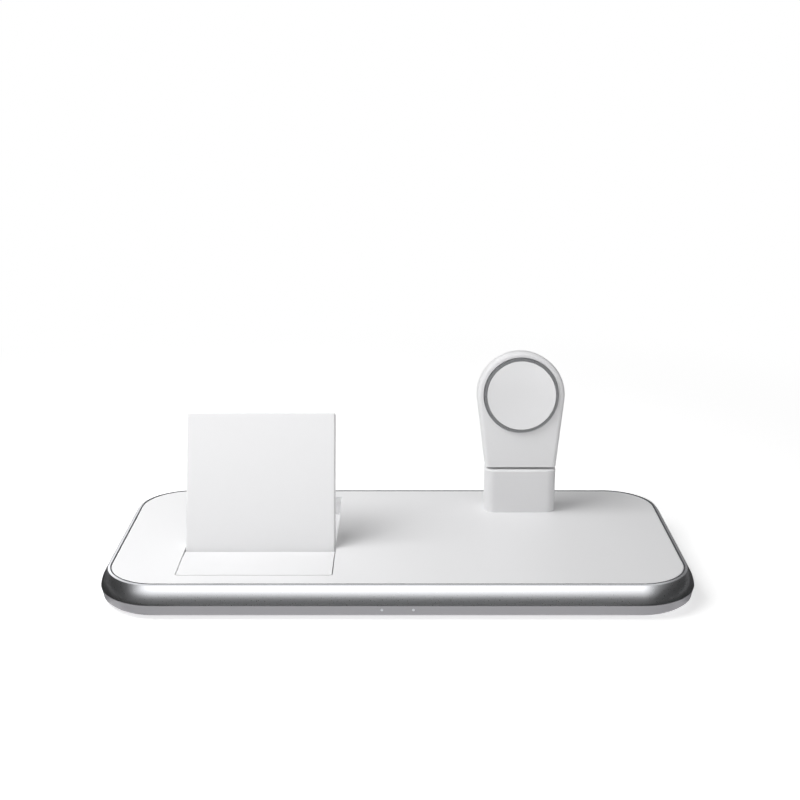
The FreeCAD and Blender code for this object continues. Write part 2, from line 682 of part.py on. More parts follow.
def dock_ferrite():
    """The shield disc below the dock's winding."""
    top, under, ferrite_under, deck_under = dock_levels()
    return post(DOCK_COIL_RADIUS + FERRITE_MARGIN, ARM_X, DOCK_Y, ferrite_under, under)


def dock_coil_holder():
    """A moulded cup, upside down on the floor, that carries the dock's winding on its deck."""
    top, under, ferrite_under, deck_under = dock_levels()
    holder = post(HOLDER_RADIUS, ARM_X, DOCK_Y, FLOOR_TOP, under)
    holder = holder.cut(post(HOLDER_RADIUS - HOLDER_WALL, ARM_X, DOCK_Y, FLOOR_TOP, deck_under))
    seat = DOCK_COIL_RADIUS + FERRITE_MARGIN + FIT_GAP
    return holder.cut(post(seat, ARM_X, DOCK_Y, ferrite_under, under))


def ballast_plate():
    """A steel plate on the floor that keeps the base from tipping, with room for holder and bracket."""
    left = BOARD_RIGHT + BALLAST_GAP
    right = ARM_X + HOLDER_RADIUS + BALLAST_GAP + BALLAST_STRIP
    front = DOCK_Y - HOLDER_RADIUS - BALLAST_GAP - BALLAST_STRIP
    foot_back = ARM_Y + BRACKET_FOOT_DEPTH / 2 + BALLAST_GAP
    back = foot_back + BALLAST_STRIP / 2
    top = FLOOR_TOP + BALLAST_THICK
    plate = slab(right - left, back - front, BALLAST_CORNER, FLOOR_TOP, top, (left + right) / 2,
                 (front + back) / 2)
    plate = plate.cut(post(HOLDER_RADIUS + BALLAST_GAP, ARM_X, DOCK_Y, FLOOR_TOP, top))
    half = BRACKET_FOOT_WIDTH / 2 + BALLAST_GAP
    return plate.cut(box(ARM_X - half, ARM_X + half, DOCK_Y, foot_back, FLOOR_TOP, top))


def arm_bracket():
    """The steel upright that carries the arm: a foot on the floor and a tongue through the panel."""
    foot = box(ARM_X - BRACKET_FOOT_WIDTH / 2, ARM_X + BRACKET_FOOT_WIDTH / 2,
               ARM_Y - BRACKET_FOOT_DEPTH / 2, ARM_Y + BRACKET_FOOT_DEPTH / 2, FLOOR_TOP,
               FLOOR_TOP + BRACKET_FOOT_THICK)
    for x, y in bracket_screw_places():
        foot = foot.cut(post(SCREW_RADIUS + SCREW_THREAD_GAP, x, y, FLOOR_TOP,
                             FLOOR_TOP + BRACKET_FOOT_THICK))
    inner = BRACKET_SCREW_SPACING / 2 - SCREW_RADIUS - SCREW_THREAD_GAP - BRACKET_GAP
    root = box(ARM_X - inner, ARM_X + inner, ARM_Y - BRACKET_THICK / 2, ARM_Y + BRACKET_THICK / 2,
               FLOOR_TOP + BRACKET_FOOT_THICK, PANEL_UNDER)
    tongue = box(ARM_X - BRACKET_WIDTH / 2, ARM_X + BRACKET_WIDTH / 2, ARM_Y - BRACKET_THICK / 2,
                 ARM_Y + BRACKET_THICK / 2, FLOOR_TOP + 2 * BRACKET_FOOT_THICK, HEAD_FOOT_Z + BRACKET_ENTRY)
    return foot.fuse(root).fuse(tongue)


def bracket_slot(low, high):
    """The room that the bracket's tongue takes between two levels."""
    return box(ARM_X - BRACKET_WIDTH / 2 - BRACKET_GAP, ARM_X + BRACKET_WIDTH / 2 + BRACKET_GAP,
               ARM_Y - BRACKET_THICK / 2 - BRACKET_GAP, ARM_Y + BRACKET_THICK / 2 + BRACKET_GAP, low, high)


def arm_pedestal():
    """The column between the panel and the arm's head, its top edge broken."""
    top = PANEL_TOP + PEDESTAL_HEIGHT
    column = slab(NECK_WIDTH, PEDESTAL_DEPTH, PEDESTAL_CORNER, PANEL_TOP, top, ARM_X, ARM_Y)
    column = column.makeChamfer(PEDESTAL_EDGE, edges_at(column, top))
    return column.cut(bracket_slot(PANEL_TOP, top))


def head_solid():
    """The arm's head: a disc drawn down by tangents into a neck, edges rounded, leaning back."""
    half = NECK_WIDTH / 2
    reach = math.hypot(half, HEAD_RISE)
    turn = math.acos(HEAD_RADIUS / reach)
    slope = math.atan2(-HEAD_RISE, half) + turn
    touch_x = HEAD_RADIUS * math.cos(slope)
    touch_z = HEAD_RISE + HEAD_RADIUS * math.sin(slope)
    front = -HEAD_THICK / 2
    below = 2 * HEAD_THICK
    foot_x = half - (touch_x - half) * below / touch_z
    points = [Vector(-foot_x, front, -below), Vector(foot_x, front, -below), Vector(touch_x, front, touch_z)]
    edges = Part.makePolygon(points).Edges
    crown = Vector(0, front, HEAD_RISE + HEAD_RADIUS)
    mirrored = Vector(-touch_x, front, touch_z)
    edges.append(Part.Arc(points[2], crown, mirrored).toShape())
    edges.append(Part.LineSegment(mirrored, points[0]).toShape())
    head = Part.Face(Part.Wire(edges)).extrude(Vector(0, HEAD_THICK, 0))
    long_edges = [edge for edge in head.Edges if edge.BoundBox.YLength < 1e-4 and edge.BoundBox.ZMax > 0]
    head = head.makeFillet(HEAD_EDGE_ROUND, long_edges)
    return head


def place_head(shape):
    """Leans a piece of the head back and sets it over the pedestal."""
    shape.rotate(Vector(), X_AXIS, -HEAD_TILT)
    shape.translate(Vector(ARM_X, ARM_Y, HEAD_FOOT_Z))
    return shape


def head_half(front, back):
    """The part of the head between two depths, cut level over the pedestal and bored for its tongue."""
    wide = 4 * HEAD_RADIUS
    half = head_solid().common(box(-wide, wide, front, back, -wide, wide))
    half = place_head(half)
    half = half.common(box(ARM_X - wide, ARM_X + wide, ARM_Y - wide, ARM_Y + wide, HEAD_FOOT_Z,
                           HEAD_FOOT_Z + 2 * wide))
    return half.cut(bracket_slot(HEAD_FOOT_Z, HEAD_FOOT_Z + BRACKET_ENTRY + BRACKET_GAP))


def puck_depth():
    """How deep the puck's cup is from its rim to its back."""
    return PUCK_FLOOR + FERRITE_THICK + PUCK_COIL_THICK + PUCK_GAP + PUCK_FACE_THICK


def puck_disc(outer, inner, back, thick):
    """A disc or ring of the puck, measured forwards from the cup's back, set in its place."""
    seat = -HEAD_THICK / 2 - PUCK_PROUD + puck_depth()
    centre = Vector(0, seat - back, HEAD_RISE)
    disc = rod(outer, centre, -Y_AXIS, thick)
    if inner:
        disc = disc.cut(rod(inner, centre, -Y_AXIS, thick))
    return disc


def arm_head_front():
    """The front shell of the arm's head, bored for the puck."""
    shell = head_half(-HEAD_THICK, HEAD_THICK / 2 - HEAD_COVER)
    return shell.cut(place_head(puck_disc(PUCK_RADIUS + PUCK_GAP, 0, 0, puck_depth())))


def arm_head_back():
    """The back cover of the arm's head."""
    return head_half(HEAD_THICK / 2 - HEAD_COVER, HEAD_THICK)


def puck_cup():
    """The metal cup that holds the puck's parts in the head."""
    cup = puck_disc(PUCK_RADIUS, 0, 0, puck_depth())
    inside = puck_disc(PUCK_RADIUS - PUCK_WALL, 0, PUCK_FLOOR, puck_depth() - PUCK_FLOOR)
    return place_head(cup.cut(inside))


def puck_ferrite():
    """The shield disc at the back of the cup."""
    return place_head(puck_disc(PUCK_COIL_RADIUS + FERRITE_MARGIN, 0, PUCK_FLOOR, FERRITE_THICK))


def puck_coil():
    """The small winding round the magnet."""
    back = PUCK_FLOOR + FERRITE_THICK
    return place_head(puck_disc(PUCK_COIL_RADIUS, PUCK_COIL_HOLE, back, PUCK_COIL_THICK))


def puck_magnet():
    """The disc magnet in the middle of the winding."""
    back = PUCK_FLOOR + FERRITE_THICK
    return place_head(puck_disc(PUCK_MAGNET_RADIUS, 0, back, PUCK_COIL_THICK))


def puck_face():
    """The dished white face that closes the cup."""
    radius = PUCK_RADIUS - PUCK_WALL - FIT_GAP
    back = puck_depth() - PUCK_FACE_THICK
    disc = puck_disc(radius, 0, back, PUCK_FACE_THICK)
    ball = (radius ** 2 + PUCK_DISH ** 2) / (2 * PUCK_DISH)
    front = -HEAD_THICK / 2 - PUCK_PROUD
    dish = Part.makeSphere(ball, Vector(0, front + PUCK_DISH - ball, HEAD_RISE))
    return place_head(disc.cut(dish))


def main_board():
    """The circuit board on its posts, notched at the back for the two sockets."""
    board = slab(BOARD_RIGHT - BOARD_LEFT, BOARD_BACK - BOARD_FRONT, BOARD_CORNER, BOARD_UNDER, BOARD_TOP,
                 BOARD_X, (BOARD_FRONT + BOARD_BACK) / 2)
    return board.cut(socket_room(INLET_X, INLET_WIDTH, INLET_DEPTH)).cut(
        socket_room(OUTPUT_X, OUTPUT_WIDTH, OUTPUT_DEPTH))


def socket_room(x, width, depth):
    """The notch in the board round one socket."""
    half = width / 2 + PORT_GAP
    return box(x - half, x + half, PORT_FACE - depth - PORT_GAP, PORT_FACE, BOARD_UNDER, BOARD_TOP)


def board_rows(count):
    """Evenly spaced places along the middle of the board, in front of the sockets."""
    first = BOARD_FRONT + BOARD_POST_MARGIN
    pitch = (PORT_FACE - OUTPUT_DEPTH - first) / count
    return [first + pitch * (row + 0.5) for row in range(count)]


def board_chips():
    """Three driver chips in a row on the board."""
    half = CHIP_SIZE / 2
    chips = []
    for y in board_rows(5)[:3]:
        chips.append(box(BOARD_X - half, BOARD_X + half, y - half, y + half, BOARD_TOP,
                         BOARD_TOP + CHIP_HEIGHT))
    return Part.makeCompound(chips)


def board_inductors():
    """Two power inductors behind the chips."""
    made = []
    for y in board_rows(5)[3:]:
        made.append(slab(INDUCTOR_SIZE, INDUCTOR_SIZE, INDUCTOR_CORNER, BOARD_TOP,
                         BOARD_TOP + INDUCTOR_HEIGHT, BOARD_X, y))
    return Part.makeCompound(made)


def status_emitters():
    """Two light emitters below the board's front edge."""
    made = []
    for x in light_places():
        half = EMITTER_WIDTH / 2
        made.append(box(x - half, x + half, BOARD_FRONT, BOARD_FRONT + EMITTER_WIDTH,
                        BOARD_UNDER - EMITTER_HEIGHT, BOARD_UNDER))
    return Part.makeCompound(made)


def status_light_pipes():
    """Two clear pins that carry the status light to the front band."""
    wall = BAND_OUT - BAND_TAPER * (BAND_TOP - LIGHT_Z) / (BAND_HEIGHT - BAND_FOOT_RISE)
    face = -HALF_DEPTH - wall + FIT_GAP
    length = BOARD_FRONT - LIGHT_AIR_GAP - face
    return Part.makeCompound([rod(LIGHT_RADIUS, Vector(x, face, LIGHT_Z), Y_AXIS, length)
                              for x in light_places()])


def inlet_shell():
    """The power inlet's drawn metal shell."""
    outer = rearward_slab(INLET_WIDTH, INLET_HEIGHT, FULL_ROUND * INLET_HEIGHT, PORT_FACE, INLET_DEPTH,
                          INLET_X, PORT_Z)
    height = INLET_HEIGHT - 2 * INLET_WALL
    inner = rearward_slab(INLET_WIDTH - 2 * INLET_WALL, height, FULL_ROUND * height, PORT_FACE,
                          INLET_DEPTH - 4 * INLET_WALL, INLET_X, PORT_Z)
    return outer.cut(inner)


def inlet_tongue():
    """The contact tongue inside the power inlet."""
    root = PORT_FACE - INLET_DEPTH + 4 * INLET_WALL
    half = INLET_TONGUE_WIDTH / 2
    return box(INLET_X - half, INLET_X + half, root, root + INLET_TONGUE_LENGTH,
               PORT_Z - INLET_TONGUE_THICK / 2, PORT_Z + INLET_TONGUE_THICK / 2)


def output_shell():
    """The output port's folded metal shell."""
    outer = rearward_slab(OUTPUT_WIDTH, OUTPUT_HEIGHT, OUTPUT_CORNER, PORT_FACE, OUTPUT_DEPTH, OUTPUT_X,
                          PORT_Z)
    inner = rearward_slab(OUTPUT_WIDTH - 2 * OUTPUT_WALL, OUTPUT_HEIGHT - 2 * OUTPUT_WALL,
                          OUTPUT_CORNER - OUTPUT_WALL, PORT_FACE, OUTPUT_DEPTH - OUTPUT_BACK_WALL, OUTPUT_X,
                          PORT_Z)
    return outer.cut(inner)


def output_tongue():
    """The contact tongue inside the output port."""
    root = PORT_FACE - OUTPUT_DEPTH + OUTPUT_BACK_WALL
    half = OUTPUT_TONGUE_WIDTH / 2
    middle = PORT_Z + OUTPUT_TONGUE_RISE
    return box(OUTPUT_X - half, OUTPUT_X + half, root, root + OUTPUT_TONGUE_LENGTH,
               middle - OUTPUT_TONGUE_THICK / 2, middle + OUTPUT_TONGUE_THICK / 2)


PIECES = (
    aluminium_frame, top_panel, bottom_shell, rubber_feet, case_screws,
    stand_well, stand_lip, hinge_pins,
    stand_front_shell, stand_rear_cover, cover_screws, stand_coil, stand_ferrite, friction_sleeves,
    dock_coil, dock_ferrite, dock_coil_holder, ballast_plate,
    arm_bracket, bracket_screws, arm_pedestal, arm_head_front, arm_head_back,
    puck_cup, puck_face, puck_coil, puck_magnet, puck_ferrite,
    main_board, board_chips, board_inductors, status_emitters, status_light_pipes,
    inlet_shell, inlet_tongue, output_shell, output_tongue,
)

os.makedirs("parts", exist_ok=True)
for piece in PIECES:
    shape = piece()
    shape.exportStep("parts/" + piece.__name__ + ".step")
    print(piece.__name__, len(shape.Solids), shape.isValid(), round(shape.Volume, 1))
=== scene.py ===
"""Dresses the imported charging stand: finishes, fine pieces, studio and camera."""
import logging
import math
from dataclasses import dataclass, replace
from enum import Enum
from typing import Callable, Optional, Sequence

import bmesh
import bpy
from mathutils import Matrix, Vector


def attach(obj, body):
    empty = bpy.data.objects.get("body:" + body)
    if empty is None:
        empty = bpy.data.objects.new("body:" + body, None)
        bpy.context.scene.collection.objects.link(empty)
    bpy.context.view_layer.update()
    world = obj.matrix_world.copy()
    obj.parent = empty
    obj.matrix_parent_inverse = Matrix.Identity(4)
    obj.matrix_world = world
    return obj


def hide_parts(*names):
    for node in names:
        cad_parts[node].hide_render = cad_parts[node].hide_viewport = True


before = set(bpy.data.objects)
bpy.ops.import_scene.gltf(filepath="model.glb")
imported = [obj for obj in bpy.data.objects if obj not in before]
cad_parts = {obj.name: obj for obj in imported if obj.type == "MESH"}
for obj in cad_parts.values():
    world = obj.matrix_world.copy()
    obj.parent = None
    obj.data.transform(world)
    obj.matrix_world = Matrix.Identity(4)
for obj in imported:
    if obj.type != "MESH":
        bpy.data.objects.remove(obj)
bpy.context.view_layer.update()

LOG = logging.getLogger("charging_stand")

MM = 0.001
# Points that are nearer than this are one point
MERGE = 0.002 * MM
# Heights that are nearer than this are level
LEVEL = 0.001 * MM
# A step in mm that is too small to see: it makes a rise an inset, which leaves no face behind
HAIR_MM = 1e-4
# An inset of fewer mm than this is a plain rise
NO_INSET_MM = 1e-6
# A face whose normal reaches this far along an axis looks that way
FACING = 0.9
# Nearly all of a noise texture lies between these values
NOISE_LOW = 0.3
NOISE_HIGH = 0.7
# The Mix node's colour sockets go by number, since other kinds of value share their names
MIX_FIRST = 6
MIX_SECOND = 7
MIX_RESULT = 2
WHITE = (1.0, 1.0, 1.0, 1.0)


def linear(hex_colour: str) -> tuple[float, float, float, float]:
    """Turns an sRGB hex colour to linear.

    Args:
        hex_colour: six hex digits after a hash sign.

    Returns:
        Linear red, green and blue, and an alpha of one.
    """
    parts = [int(hex_colour[i:i + 2], 16) / 255 for i in (1, 3, 5)]
    red, green, blue = (p / 12.92 if p <= 0.04045 else ((p + 0.055) / 1.055) ** 2.4 for p in parts)
    return red, green, blue, 1.0


def add_node(tree: bpy.types.NodeTree, kind: str, settings: Optional[dict] = None,
             inputs: Optional[dict] = None) -> bpy.types.Node:
    """Adds one node with its settings and links.

    Args:
        tree: the node tree that gets it.
        kind: the node's Blender type.
        settings: attributes of the node.
        inputs: values or output sockets, by input name or number.

    Returns:
        The node.
    """
    node = tree.nodes.new(kind)
    for key, value in (settings or {}).items():
        setattr(node, key, value)
    for key, value in (inputs or {}).items():
        if isinstance(value, bpy.types.NodeSocket):
            tree.links.new(value, node.inputs[key])
        else:
            node.inputs[key].default_value = value
    return node


def bare_material(name: str) -> bpy.types.Material:
    """Makes a material whose node tree is empty.

    Args:
        name: what the material is called.

    Returns:
        The material.
    """
    made = bpy.data.materials.new(name)
    made.use_nodes = True
    made.node_tree.nodes.clear()
    return made


class Texture(Enum):
    """How a surface was left by its making."""

    GRIT = "grit"
    SPECKLE = "speckle"


@dataclass(frozen=True)
class Finish:
    """One real material and the way its surface was made."""

    name: str
    slot: str
    colour: str
    roughness: float
    metallic: float = 0.0
    ior: float = 1.5
    specular: float = 0.5
    texture: Texture = Texture.GRIT
    grain_mm: float = 0.4
    relief_mm: float = 0.002
    spread: float = 0.04
    second_colour: str = ""
    glow: float = 0.0

    def material(self) -> bpy.types.Material:
        """Makes the material, or finds it where it was made before.

        Returns:
            The material.
        """
        made = bpy.data.materials.get(self.name)
        if made:
            return made
        made = bare_material(self.name)
        tree = made.node_tree
        shader = add_node(tree, "ShaderNodeBsdfPrincipled", inputs={
            "Base Color": linear(self.colour),
            "Metallic": self.metallic,
            "IOR": self.ior,
            "Specular IOR Level": self.specular,
            "Emission Color": linear(self.colour),
            "Emission Strength": self.glow,
        })
        self.add_texture(tree, shader)
        add_node(tree, "ShaderNodeOutputMaterial", inputs={"Surface": shader.outputs["BSDF"]})
        return made

    def add_texture(self, tree: bpy.types.NodeTree, shader: bpy.types.Node) -> None:
        """Adds the fine relief and broken gloss, and for a speckled surface its second colour.

        Args:
            tree: the material's nodes.
            shader: the surface shader.
        """
        place = add_node(tree, "ShaderNodeTexCoord")
        noise = add_node(tree, "ShaderNodeTexNoise", inputs={
            "Vector": place.outputs["Object"],
            "Scale": 1.0 / (self.grain_mm * MM),
            "Detail": 2.0,
        })
        bump = add_node(tree, "ShaderNodeBump", inputs={
            "Height": noise.outputs["Fac"],
            "Distance": self.relief_mm * MM,
            "Strength": 1.0,
        })
        tree.links.new(bump.outputs["Normal"], shader.inputs["Normal"])
        gloss = add_node(tree, "ShaderNodeMapRange", inputs={
            "Value": noise.outputs["Fac"],
            "From Min": NOISE_LOW,
            "From Max": NOISE_HIGH,
            "To Min": self.roughness - self.spread,
            "To Max": self.roughness + self.spread,
        })
        tree.links.new(gloss.outputs["Result"], shader.inputs["Roughness"])
        if self.texture is Texture.SPECKLE:
            mix = add_node(tree, "ShaderNodeMix", {"data_type": "RGBA"}, {
                "Factor": noise.outputs["Fac"],
                MIX_FIRST: linear(self.colour),
                MIX_SECOND: linear(self.second_colour),
            })
            tree.links.new(mix.outputs[MIX_RESULT], shader.inputs["Base Color"])

    def dress(self, obj: bpy.types.Object) -> None:
        """Puts the finish on a piece or CAD node as its only material."""
        obj.data.materials.clear()
        obj.data.materials.append(self.material())


# Bead blasted and clear anodised extrusion: a soft, slightly grainy metal gleam.
# The real grit is near 0.1 mm, too fine for the render, so it is drawn coarser.
ANODISED = Finish("anodised aluminium, bead blasted", "anodised_aluminium", "#D6D7DA", 0.3, metallic=1.0,
                  grain_mm=0.35, relief_mm=0.002, spread=0.03)
# Soft-touch lacquer sprayed on a moulding: an even white with a broad, dim sheen
SOFT_TOUCH = Finish("soft-touch lacquer, sprayed", "white_soft_touch", "#F0F0F1", 0.5,
                    grain_mm=0.3, relief_mm=0.001)
# Spark eroded mould: a fine even grain that breaks up the highlight
WHITE_ABS = Finish("white ABS, moulded with spark grain", "white_abs", "#E9E9EA", 0.42,
                   grain_mm=0.4, relief_mm=0.002, spread=0.05)
# Polished mould: a clean gloss with sharp highlights and a trace of flow in it
WHITE_GLOSS = Finish("white polycarbonate, polished mould", "white_polycarbonate", "#F0F0F1", 0.15, ior=1.58,
                     grain_mm=1.6, relief_mm=0.001, spread=0.02)
# The same spark grain in a mid grey
GREY_ABS = Finish("grey ABS, moulded with spark grain", "grey_abs", "#A3A2A6", 0.42,
                  grain_mm=0.4, relief_mm=0.003, spread=0.05)
# Compression moulded silicone: dull, with hardly a highlight
SILICONE = Finish("silicone rubber, compression moulded", "silicone_rubber", "#55565A", 0.75, specular=0.3,
                  grain_mm=0.5, relief_mm=0.006)
# Barrel plated nickel over stamped steel: bright, with the faint mottle of tumbling
NICKEL = Finish("nickel plate, barrel plated", "plated_steel", "#C4C1BA", 0.24, metallic=1.0,
                grain_mm=0.6, relief_mm=0.001, spread=0.06)
# Hard gold flash on spring contacts: a deep warm gleam over fine rolling marks
GOLD = Finish("gold plate on bronze contacts", "plated_steel", "#E2B55E", 0.2, metallic=1.0,
              grain_mm=0.25, relief_mm=0.001, spread=0.05)
# Enamelled wire laid flat: a warm gloss, lighter and darker from turn to turn
COPPER = Finish("enamelled copper wire, wound", "copper_winding", "#B8673A", 0.3, metallic=1.0,
                texture=Texture.SPECKLE, grain_mm=0.5, relief_mm=0.02, second_colour="#9C5229")
# Pressed and fired ferrite: dark, dull and faintly speckled
FERRITE = Finish("ferrite, pressed and sintered", "sintered_ferrite", "#2E2C2D", 0.7,
                 texture=Texture.SPECKLE, grain_mm=0.4, relief_mm=0.01, second_colour="#454243")
# Solder mask over glass cloth: a green gloss with the cloth showing faintly
SOLDER_MASK = Finish("solder mask on glass epoxy", "glass_epoxy_board", "#1D5A3A", 0.3,
                     texture=Texture.SPECKLE, grain_mm=0.8, relief_mm=0.003, second_colour="#226443")
# Moulded nylon and chip bodies: near black, half matt, with fibre ends at the surface
BLACK_NYLON = Finish("black glass-filled nylon, moulded", "black_moulding", "#1A1A1C", 0.45,
                     texture=Texture.SPECKLE, grain_mm=0.3, relief_mm=0.003, second_colour="#232326")
# Moulded acrylic fed by an emitter: milky clear, with a faint light of its own
ACRYLIC = Finish("clear acrylic, moulded and lit", "clear_acrylic", "#D4D6D9", 0.25, ior=1.49, glow=0.1,
                 texture=Texture.SPECKLE, grain_mm=0.8, relief_mm=0.001, second_colour="#CBCED2")

CAD_FINISHES: dict[Finish, tuple[str, ...]] = {
    SOFT_TOUCH: ("top_panel", "stand_lip", "stand_front_shell"),
    WHITE_ABS: ("stand_well", "stand_rear_cover", "arm_pedestal", "arm_head_front", "arm_head_back"),
    WHITE_GLOSS: ("puck_face",),
    GREY_ABS: ("bottom_shell", "dock_coil_holder"),
    ANODISED: ("puck_cup",),
    NICKEL: ("hinge_pins", "friction_sleeves", "ballast_plate", "arm_bracket", "puck_magnet", "inlet_shell",
             "output_shell"),
    COPPER: ("stand_coil", "dock_coil", "puck_coil"),
    FERRITE: ("stand_ferrite", "dock_ferrite", "puck_ferrite", "board_inductors"),
    SOLDER_MASK: ("main_board",),
    BLACK_NYLON: ("board_chips", "inlet_tongue", "output_tongue"),
    ACRYLIC: ("status_emitters",),
}


class Part(Enum):
    """What is picked in edit mode."""

    EDGES = "EDGE"
    FACES = "FACE"


def deselect() -> None:
    """Leaves edit mode and clears the selection."""
    if bpy.context.mode != "OBJECT":
        bpy.ops.object.mode_set(mode="OBJECT")
    bpy.ops.object.select_all(action="DESELECT")


def take(obj: bpy.types.Object) -> None:
    """Makes one object the only one selected, and active.

    Args:
        obj: the object.
    """
    deselect()
    obj.select_set(True)
    bpy.context.view_layer.objects.active = obj


def pick(obj: bpy.types.Object, part: Part, test: Callable[..., bool]) -> None:
    """Selects parts of the mesh in edit mode.

    Args:
        obj: the piece, in edit mode.
        part: edges or faces.
        test: says of one edge or face whether it is wanted.
    """
    bpy.ops.mesh.select_mode(type=part.value)
    bpy.ops.mesh.select_all(action="DESELECT")
    work = bmesh.from_edit_mesh(obj.data)
    for item in {Part.EDGES: work.edges, Part.FACES: work.faces}[part]:
        if test(item):
            item.select_set(True)
    bmesh.update_edit_mesh(obj.data)


def apply_modifier(obj: bpy.types.Object, kind: str, **settings: object) -> None:
    """Adds one modifier and applies it.

    Args:
        obj: the piece.
        kind: the modifier's Blender type.
        settings: its settings.
    """
    take(obj)
    modifier = obj.modifiers.new(kind.title(), kind)
    for key, value in settings.items():
        setattr(modifier, key, value)
    bpy.ops.object.modifier_apply(modifier=modifier.name)


def cut(obj: bpy.types.Object, cutter: bpy.types.Object) -> None:
    """Takes the cutter's shape out of a piece, and the cutter out of the scene."""
    apply_modifier(obj, "BOOLEAN", object=cutter, operation="DIFFERENCE", solver="EXACT")
    bpy.data.objects.remove(cutter)


def close_up(obj: bpy.types.Object, angle: float = 30.0) -> None:
    """Merges doubles, turns the faces outwards and smooths all but the sharp edges.

    Args:
        obj: the piece.
        angle: edges sharper than this many degrees stay crisp.
    """
    take(obj)
    bpy.ops.object.mode_set(mode="EDIT")
    bpy.ops.mesh.select_all(action="SELECT")
    bpy.ops.mesh.remove_doubles(threshold=MERGE)
    bpy.ops.mesh.normals_make_consistent(inside=False)
    bpy.ops.object.mode_set(mode="OBJECT")
    bpy.ops.object.shade_smooth_by_angle(angle=math.radians(angle))


def settle(obj: bpy.types.Object) -> None:
    """Puts the object's place into its mesh."""
    take(obj)
    bpy.ops.object.transform_apply(location=True, rotation=True, scale=True)


def join(pieces: Sequence[bpy.types.Object], name: str) -> bpy.types.Object:
    """Joins pieces into one object.

    Args:
        pieces: what is joined, the first keeps the rest.
        name: the joined object's name.

    Returns:
        The joined object.
    """
    take(pieces[0])
    for piece in pieces[1:]:
        piece.select_set(True)
    if len(pieces) > 1:
        bpy.ops.object.join()
    whole = bpy.context.view_layer.objects.active
    whole.name = name
    whole.data.name = name
    return whole


def copies(piece: bpy.types.Object, places: Sequence[Vector], name: str) -> bpy.types.Object:
    """Copies a piece to several places and joins the copies.

    Args:
        piece: the piece modelled once, at the origin.
        places: where each copy goes, in mm.
        name: the joined object's name.

    Returns:
        The joined copies; the piece itself is the first.
    """
    made = [piece]
    for place in places[1:]:
        take(piece)
        bpy.ops.object.duplicate(linked=False)
        other = bpy.context.view_layer.objects.active
        other.location = place * MM
        made.append(other)
    piece.location = places[0] * MM
    for other in made:
        settle(other)
    return join(made, name)


def rounded_plate(width: float, depth: float, corner: float, level: float, segments: int = 16,
                  facing_up: bool = True) -> bpy.types.Object:
    """Lays out a plane with rounded corners and leaves it in edit mode, its face selected.

    Args:
        width: size along X in mm.
        depth: size along Y in mm.
        corner: corner radius in mm.
        level: height in mm.
        segments: edges round each corner.
        facing_up: whether the face looks up or down.

    Returns:
        The plane.
    """
    deselect()
    bpy.ops.mesh.primitive_plane_add(size=1.0, location=(0.0, 0.0, level * MM))
    plate = bpy.context.object
    plate.scale = (width * MM, depth * MM, 1.0)
    bpy.ops.object.transform_apply(location=True, rotation=True, scale=True)
    bpy.ops.object.mode_set(mode="EDIT")
    bpy.ops.mesh.select_all(action="SELECT")
    bpy.ops.mesh.bevel(affect="VERTICES", offset=corner * MM, offset_pct=0, segments=segments, profile=0.5,
                       clamp_overlap=False)
    bpy.ops.mesh.select_mode(type=Part.FACES.value)
    bpy.ops.mesh.select_all(action="SELECT")
    if not facing_up:
        bpy.ops.mesh.flip_normals()
    return plate


def raise_face(distance: float) -> None:
    """Extrudes the selected face by some mm along Z."""
    bpy.ops.mesh.extrude_region_move(TRANSFORM_OT_translate={"value": (0.0, 0.0, distance * MM)})


def climb(sections: Sequence[tuple[float, float]], rising: float = 1.0) -> None:
    """Takes the selected face through the offsets of a section, by inset and extrude.

    Args:
        sections: outward offset and height of each corner of the section, in mm, in order.
        rising: 1 where the face looks up, and -1 where it looks down.
    """
    for (out, level), (next_out, next_level) in zip(sections, sections[1:]):
        inwards = out - next_out
        rise = next_level - level
        if inwards > NO_INSET_MM:
            bpy.ops.mesh.inset(thickness=inwards * MM, depth=rise * rising * MM, use_even_offset=True,
                               use_boundary=True)
        else:
            raise_face(rise)


def hand_over(obj: bpy.types.Object, finish: Finish, body: str, *nodes: str) -> None:
    """Dresses a finished piece and gives it to the frame.

    Args:
        obj: the piece.
        finish: its finish.
        body: the CAD body that it moves with.
        nodes: the CAD nodes that it stands for.
    """
    finish.dress(obj)
    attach(obj, body)
    if nodes:
        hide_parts(*nodes)
    LOG.info("%s: %s, %d faces, stands for %s", obj.name, finish.name, len(obj.data.polygons),
             ", ".join(nodes) or "no node")


